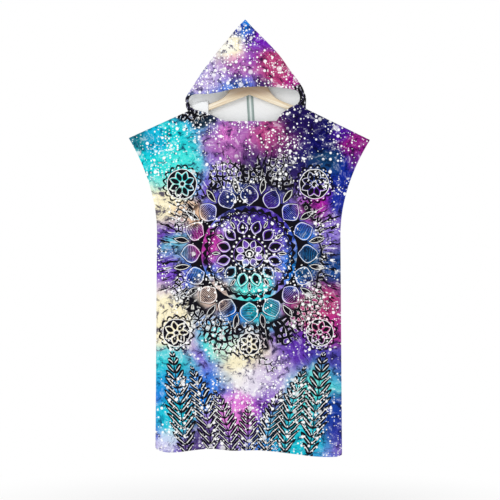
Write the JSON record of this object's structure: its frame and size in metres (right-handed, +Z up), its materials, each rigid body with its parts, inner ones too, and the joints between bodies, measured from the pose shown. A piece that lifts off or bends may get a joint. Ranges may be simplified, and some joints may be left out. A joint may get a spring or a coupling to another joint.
{
  "type": "hooded poncho beach towel on a wooden clothes hanger",
  "caption": "Hooded poncho beach towel with open armholes and a pointed hood, hung flat on a plain wooden hanger with a wire hook.",
  "frame": {"origin": "inner top of the hook's bowl, where a rail carries the hanger", "axes": "+Z up, +X to the right of the front as it is looked at, the printed front of the towel faces -Y"},
  "size_m": [0.75, 0.0749, 1.358],
  "materials": {
    "printed_towel": "printed brushed microfibre towelling with a short matt nap",
    "pale_towel": "unprinted reverse of the towelling, overlocked at its edges",
    "wood": "pale satin lacquered wood",
    "steel": "polished plated wire"
  },
  "bodies": {
    "root": {"front_panel": "printed_towel", "back_panel": "printed_towel", "hood": "printed_towel", "hood_seam_band": "pale_towel", "hanger_body": "wood", "hanger_hook": "steel"}
  },
  "joints": []
}
